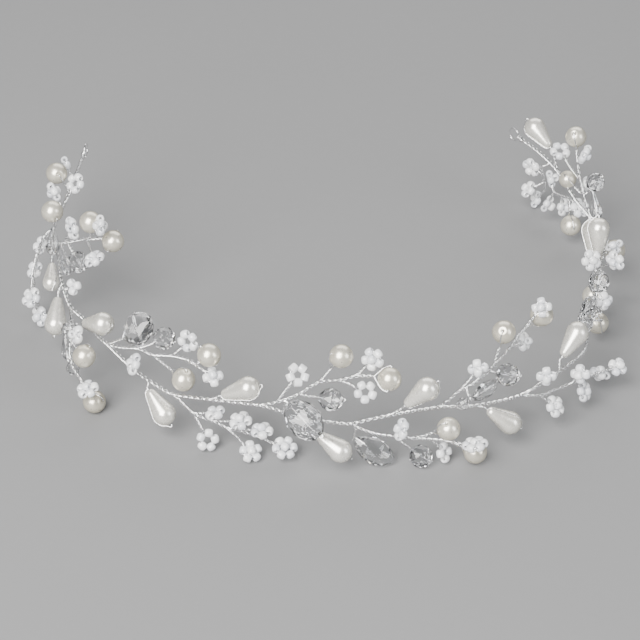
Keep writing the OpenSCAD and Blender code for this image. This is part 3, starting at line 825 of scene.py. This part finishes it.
def addStone(name, cut, width, thick, length, branch, station, near, at, strung="along"):
    centre = place(at)
    t = (centre - near).normalized()
    side = beadSide(t, centre, 0)
    if strung == "hugged":
        knot = addPearlStrand(centre, t, side, length/2*mm, width/2*mm, pearlSet)
    elif strung == "across":
        knot = addCrossStrand(centre, t, side, length, thick, crossSet)
    else:
        knot = addStoneStrand(centre, t, side, length, stoneSet)
    addStalk(branch, station, knot)
    return cutStone(name, cuts[cut], width, thick, length, beadFrame(centre, t, side))


def addRoundStone(name, d, branch, station, at):
    return addStone(name, "round", d, d, d, branch, station, wireAt(branch, station), at)


for k, row in enumerate(rounds, 1):
    stone = addRoundStone(f"roundStone_{k:02d}", *row)
    handOver(stone, f"round_crystal_{k:02d}")
for k, (width, thick, length, branch, station, near, at, strung) in enumerate(ovals, 1):
    stone = addStone(f"ovalStone_{k:02d}", "oval", width, thick, length, branch, station,
                     place(near), at, strung)
    handOver(stone, f"oval_crystal_{k:02d}")
for k, row in enumerate(smallRounds, 1):
    stone = addRoundStone(f"smallStone_{k:02d}", *row)
    handOver(stone, "small_crystals")
for k, (width, length, branch, station, tip, at) in enumerate(narrowDrops, 1):
    stone = addStone(f"narrowStone_{k:02d}", "drop", width, width, length, branch, station,
                     place(tip), at)
    handOver(stone, "narrow_crystals")
print("cut stones made:", len(rounds) + len(ovals) + len(smallRounds) + len(narrowDrops))


# Seed beads strung in small rings

# diameters of bead and hole; round and around are the steps of its section and its turn; a power
# below 1 squares its flanks
seedSet = {"diameter": 2.3, "hole": 0.62, "length": 2.05, "round": 10, "around": 16, "power": 0.92,
           "squarePower": 0.4, "jitter": 0.07}
# beads lie at inward to 1 of the ring's radius and tilt by up to lean, heaped ones by heapLean; a
# heaped bead lies heapReach from those under it, and rises by the root of rise at least; the
# strand's loop starts and ends loopFrom degrees from the knot
ringSet = {"inward": 0.97, "lean": 0.12, "heapLean": 0.8, "heapReach": 2.2, "rise": 0.4, "knot": 1.1,
           "loopFrom": 16, "loopSteps": 14}

# beads in the ring, branch, station, centre, how far it faces up and is turned, beads heaped on it
seedRingsLeft = [
    [3, "stem", 1.5, [-110.5, 2.5, 24.5], 30, 0, 0],
    [5, "stem", 2.5, [-104, -4, 24.5], 30, 60, 0],
    [5, "stem", 3, [-99.5, 0.5, 24.5], 30, 20, 2],
    [4, "leftLow", 0.5, [-91, 2.5, 14], 10, 30, 0],
    [4, "leftLow", 1.5, [-84.5, 3.5, 12], 30, 40, 0],
    [5, "leftLow", 3, [-77.5, 5, 9.5], 20, 50, 1],
    [5, "leftLow", 3, [-77.5, 3, 3.05], 20, 30, 1],
    [6, "leftInner", 0.7, [-81, -7.5, 28], 40, 60, 1],
    [5, "leftInner", 3.5, [-75, -14.5, 32.5], 50, 60, 2],
    [5, "leftInner", 2.5, [-72.5, -12, 24], 40, 70, 2],
    [3, "stem", 7.3, [-68.5, -5, 19.5], 0, 0, 0]
]
seedRingsFrontLeft = [
    [4, "leftHang", 2.3, [-52, 3.5, 20.5], 40, 50, 1],
    [5, "leftHang", 5, [-46, 7, 9.5], 60, 40, 1],
    [5, "stem", 12, [-37, 2, 21.5], 40, 30, 1],
    [5, "frontLeftUp", 4, [-28, -5.5, 29], 36, 20, 0],
    [4, "frontLeftUp", 5, [-21.5, -3.5, 22], 60, 0, 1],
    [4, "frontLeftLow", 1, [-21, -3, 11], 90, 0, 0],
    [5, "frontLeftLow", 1, [-22, -1, 3], 60, 0, 0],
    [5, "frontLeftLow", 2, [-16, -4.5, 9], 80, 0, 1],
    [5, "frontLeftLow", 3, [-11.5, -4.5, 7], 90, 0, 1],
    [5, "frontLeftLow", 3, [-13, -1, 2.5], 70, 0, 1],
    [6, "frontLeftLow", 5, [-6.5, -3, 3.5], 70, 0, 2],
    [5, "frontUp", 1, [-4.5, -8.5, 23], 30, 10, 0]
]
seedRingsFrontRight = [
    [5, "frontUp", 5, [11, -6, 29.5], 50, 0, 1],
    [5, "frontUp", 4, [9.5, -4.5, 20.5], 36, 0, 0],
    [5, "frontLow", 2, [15.5, 2.5, 12.8], 70, 0, 1],
    [4, "frontLow", 4, [24, 3.5, 3.2], 60, 0, 0],
    [6, "frontLow", 5, [27.5, 10, 9], 100, 0, 1],
    [4, "rightUp", 2, [31, 1.5, 25.5], 40, 0, 1],
    [4, "rightUp", 6, [46.5, -3.5, 22], 30, 0, 1],
    [4, "rightUp", 7, [49, -1, 32.5], 60, -30, 2],
    [4, "stem", 28.5, [44.5, 7, 18], 40, 0, 1],
    [4, "rightSpray", 3, [52.5, 9.5, 13.5], 60, 0, 1],
    [5, "rightSpray", 3.5, [54.5, 9.5, 6], 50, 0, 1],
    [5, "rightSpray", 1, [46.5, 8.5, 7.5], 50, 0, 1],
    [5, "rightSpray", 4.7, [60.5, 9.5, 6.3], 90, 0, 2],
    [4, "rightSpray", 5, [62, 13.5, 8.5], 50, 0, 1]
]
seedRingsRight = [
    [5, "stem", 33.8, [83, -1.5, 20], 40, -60, 1],
    [5, "stem", 34.2, [83.5, 5, 20], 40, -60, 1],
    [4, "stem", 32.6, [72, 4, 17.5], 20, -40, 1],
    [4, "stem", 35.2, [91, 5.4, 18], 20, -60, 1],
    [5, "backLow", 1, [110.5, 3.5, 13], 0, -60, 1],
    [4, "backLow", 2, [116, 2.5, 9], 0, -60, 1],
    [4, "backLow", 3, [120.5, 1, 7], 0, -60, 1],
    [4, "backLow", 3, [122, 3, 14], 0, -60, 1],
    [5, "backHang", 2, [127, 1, 15], 0, -40, 1],
    [4, "backHang", 2.5, [127, 0.5, 7.5], 0, -40, 1],
    [4, "backHang", 4, [127, 4, 2.74], 0, -40, 0],
    [3, "backUp", 1, [109, 3.5, 22.5], 0, 0, 0],
    [5, "backUp", 2, [116.5, 0, 28.5], 30, -100, 0],
    [5, "backUp", 3, [108, 1.5, 33.5], 30, -60, 1]
]


def seedShape(name, s, power):  # a short rounded bead
    middle, deep = (s["diameter"] + s["hole"])/4, (s["diameter"] - s["hole"])/4
    profile = []
    for k in range(s["round"]):
        a = 2*pi*(k + 0.5)/s["round"]
        x, z = (copysign(abs(v)**power, v) for v in (cos(a), sin(a)))
        profile.append(((middle + deep*x)*mm, s["length"]/2*z*mm))
    return lathe(name, profile, s["around"], Matrix())


def ringFrame(count, branch, station, at, up, turned):  # centre, way out, way aside, radius
    centre, start = place(at), wireAt(branch, station)
    stalkWay = (centre - start).normalized()
    side = radians(at[0] + turned)
    facing = Vector((sin(side)*cos(radians(up)), -cos(side)*cos(radians(up)), sin(radians(up))))
    axis = (facing - stalkWay*facing.dot(stalkWay)).normalized()
    return centre, stalkWay, axis.cross(stalkWay), seedSet["diameter"]/2/sin(pi/count)*mm


def addSeedRing(count, branch, station, at, up, turned, heaped, points, axes, p):
    centre, outWay, side, r = ringFrame(count, branch, station, at, up, turned)
    for k in range(count):
        a = pi + 2*pi*(k + 0.5)/count
        points.append(centre + (outWay*cos(a) + side*sin(a))*r*rand.uniform(p["inward"], 1.0))
        lean = Vector([rand.uniform(-p["lean"], p["lean"]) for axis in range(3)])
        axes.append((side*cos(a) - outWay*sin(a) + lean).normalized())
    rise = max(p["rise"], (p["heapReach"]**2 - (r/mm)**2))**0.5*mm
    for sign in (1, -1)[:heaped]:
        points.append(centre + outWay.cross(side)*rise*sign)
        axes.append((outWay + side*rand.uniform(-p["heapLean"], p["heapLean"])).normalized())
    knot = centre - outWay*(r + p["knot"]*mm)
    loop = []
    for k in range(p["loopSteps"] + 1):
        a = pi + radians(p["loopFrom"] + (360 - 2*p["loopFrom"])*k/p["loopSteps"])
        loop.append(centre + (outWay*cos(a) + side*sin(a))*r)
    paths["thread"].append(samplePath([knot, *loop, knot], stepSet["strand"]))
    addStalk(branch, station, knot)


def growSeedField(name, rows, node, seed, power=seedSet["power"]):
    points, axes = [], []
    for row in rows:
        addSeedRing(*row, points, axes, ringSet)
    source = meshObject(name + "Points", points)
    attribute = source.data.attributes.new("beadAxis", "FLOAT_VECTOR", "POINT")
    attribute.data.foreach_set("vector", [c for v in axes for c in v])
    shape = seedShape(name + "Shape", seedSet, power)
    field = growPiece(name, source, beadTree, {
        "Bead": shape, "Jitter": seedSet["jitter"], "Seed": seed, "Material": materials["milkyGlass"]})
    bpy.data.objects.remove(shape)
    handOver(field, node)
    print(name, len(points), "beads", len(field.data.polygons), "faces")


growSeedField("seedBeadsLeft", seedRingsLeft, "seed_rings_left", 1)
growSeedField("seedBeadsFrontLeft", seedRingsFrontLeft[:-1], "seed_rings_front_left", 2)
growSeedField("squareBeads", seedRingsFrontLeft[-1:], "seed_rings_front_left", 3,
              seedSet["squarePower"])
growSeedField("seedBeadsFrontRight", seedRingsFrontRight, "seed_rings_front_right", 4)
growSeedField("seedBeadsRight", seedRingsRight, "seed_rings_right", 5)


# All wire, now that every path is known

for kind, values in wireSet.items():
    vertices, edges = [], []
    for path in paths[kind]:
        first = len(vertices)
        vertices += path
        edges += [(first + i, first + i + 1) for i in range(len(path) - 1)]
    source = meshObject(kind + "Paths", vertices, edges)
    wire = growPiece(kind + "Wire", source, twistTree, {
        **values, **growSet, "Material": materials["silverWire"]})
    handOver(wire, "vine_wire")
    print(kind, len(paths[kind]), "paths", len(wire.data.polygons), "faces")
